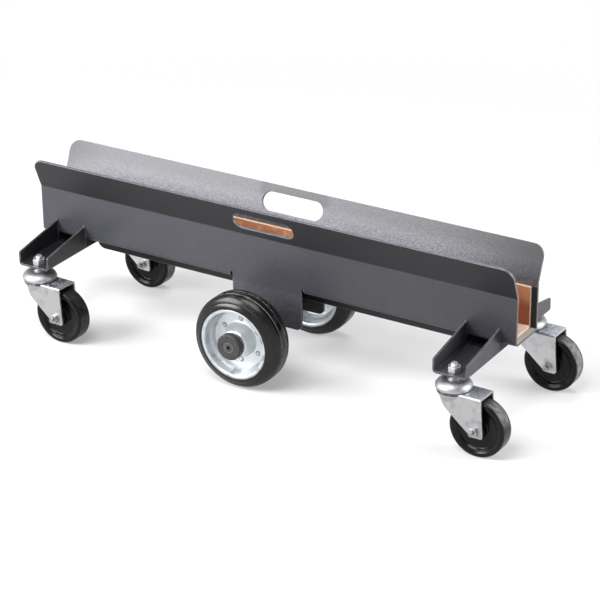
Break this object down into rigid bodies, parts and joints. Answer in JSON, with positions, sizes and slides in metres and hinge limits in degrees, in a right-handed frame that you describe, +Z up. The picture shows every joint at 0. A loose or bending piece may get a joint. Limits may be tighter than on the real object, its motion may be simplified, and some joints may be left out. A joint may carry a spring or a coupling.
{
  "type": "tile panel dolly",
  "caption": "Low dolly for carrying tile panels on edge: a lined steel channel with flared lips on a middle wheel pair and swivel casters at the ends.",
  "frame": {"origin": "on the floor under the middle of the channel, midway between the two middle wheels", "axes": "+X along the channel, the way the swivel casters trail at rest; -Y towards the front, the side nearest in the picture; +Z up"},
  "size_m": [0.9362, 0.3201, 0.2803],
  "materials": {
    "powder_coat": "dark grey fine-textured powder coat",
    "lining_red": "red-brown film-faced board with pale edges",
    "lining_pale": "red-brown film-faced board with pale edges, worn paler on the floor of the channel",
    "tyre_black": "black solid rubber, ringed sidewall",
    "caster_black": "black moulded wheel, satin",
    "bush_grey": "grey plain bearing bush",
    "cap_black": "dark grey moulded cap",
    "screw_black": "black-finished steel screw",
    "plain_steel": "ground bright steel",
    "zinc_rim": "zinc-plated pressed steel",
    "zinc_bright": "bright zinc-plated steel"
  },
  "bodies": {
    "frame": {"side_plate_front": "powder_coat", "side_plate_back": "powder_coat", "lining_front": "lining_red", "lining_back": "lining_red", "lining_floor": "lining_pale", "cross_beam_left": "powder_coat", "cross_beam_right": "powder_coat", "spine_rib": "powder_coat", "axle_tube": "powder_coat", "wheel_axle": "plain_steel", "axle_washers": "zinc_bright", "hub_cap_front": "cap_black", "hub_cap_back": "cap_black", "hub_cap_screws": "screw_black", "kingpin_nuts": "zinc_bright", "crown_washers": "zinc_bright", "swivel_balls": "plain_steel", "swivel_head_front_left": "zinc_bright", "kingpin_front_left": "zinc_bright", "swivel_head_front_right": "zinc_bright", "kingpin_front_right": "zinc_bright", "swivel_head_back_left": "zinc_bright", "kingpin_back_left": "zinc_bright", "swivel_head_back_right": "zinc_bright", "kingpin_back_right": "zinc_bright"},
    "swivel_front_left": {"fork_front_left": "zinc_bright", "caster_bolt_front_left": "zinc_bright", "caster_nut_front_left": "zinc_bright"},
    "roller_front_left": {"caster_wheel_front_left": "caster_black", "caster_bush_front_left": "bush_grey"},
    "swivel_front_right": {"fork_front_right": "zinc_bright", "caster_bolt_front_right": "zinc_bright", "caster_nut_front_right": "zinc_bright"},
    "roller_front_right": {"caster_wheel_front_right": "caster_black", "caster_bush_front_right": "bush_grey"},
    "swivel_back_left": {"fork_back_left": "zinc_bright", "caster_bolt_back_left": "zinc_bright", "caster_nut_back_left": "zinc_bright"},
    "roller_back_left": {"caster_wheel_back_left": "caster_black", "caster_bush_back_left": "bush_grey"},
    "swivel_back_right": {"fork_back_right": "zinc_bright", "caster_bolt_back_right": "zinc_bright", "caster_nut_back_right": "zinc_bright"},
    "roller_back_right": {"caster_wheel_back_right": "caster_black", "caster_bush_back_right": "bush_grey"},
    "wheel_front": {"tyre_front": "tyre_black", "rim_outer_front": "zinc_rim", "rim_inner_front": "zinc_rim", "rim_rivets_front": "zinc_rim", "wheel_hub_front": "zinc_rim", "roller_bearing_front": "plain_steel"},
    "wheel_back": {"tyre_back": "tyre_black", "rim_outer_back": "zinc_rim", "rim_inner_back": "zinc_rim", "rim_rivets_back": "zinc_rim", "wheel_hub_back": "zinc_rim", "roller_bearing_back": "plain_steel"}
  },
  "joints": [
    {"name": "swivel_turn_front_left", "type": "hinge", "parent": "frame", "child": "swivel_front_left", "pos_m": [-0.392, -0.128, 0.1], "axis": [0, 0, 1], "continuous": true},
    {"name": "caster_roll_front_left", "type": "hinge", "parent": "swivel_front_left", "child": "roller_front_left", "pos_m": [-0.34506, -0.13046, 0.047], "axis": [0.0523, 0.9986, 0], "continuous": true},
    {"name": "swivel_turn_front_right", "type": "hinge", "parent": "frame", "child": "swivel_front_right", "pos_m": [0.392, -0.128, 0.1], "axis": [0, 0, 1], "continuous": true},
    {"name": "caster_roll_front_right", "type": "hinge", "parent": "swivel_front_right", "child": "roller_front_right", "pos_m": [0.43899, -0.12882, 0.047], "axis": [0.0175, 0.9998, 0], "continuous": true},
    {"name": "swivel_turn_back_left", "type": "hinge", "parent": "frame", "child": "swivel_back_left", "pos_m": [-0.392, 0.128, 0.1], "axis": [0, 0, 1], "continuous": true},
    {"name": "caster_roll_back_left", "type": "hinge", "parent": "swivel_back_left", "child": "roller_back_left", "pos_m": [-0.34506, 0.12554, 0.047], "axis": [0.0523, 0.9986, 0], "continuous": true},
    {"name": "swivel_turn_back_right", "type": "hinge", "parent": "frame", "child": "swivel_back_right", "pos_m": [0.392, 0.128, 0.1], "axis": [0, 0, 1], "continuous": true},
    {"name": "caster_roll_back_right", "type": "hinge", "parent": "swivel_back_right", "child": "roller_back_right", "pos_m": [0.43899, 0.12718, 0.047], "axis": [0.0175, 0.9998, 0], "continuous": true},
    {"name": "wheel_roll_front", "type": "hinge", "parent": "frame", "child": "wheel_front", "pos_m": [0, -0.113, 0.08], "axis": [0, 1, 0], "continuous": true},
    {"name": "wheel_roll_back", "type": "hinge", "parent": "frame", "child": "wheel_back", "pos_m": [0, 0.113, 0.08], "axis": [0, 1, 0], "continuous": true}
  ]
}
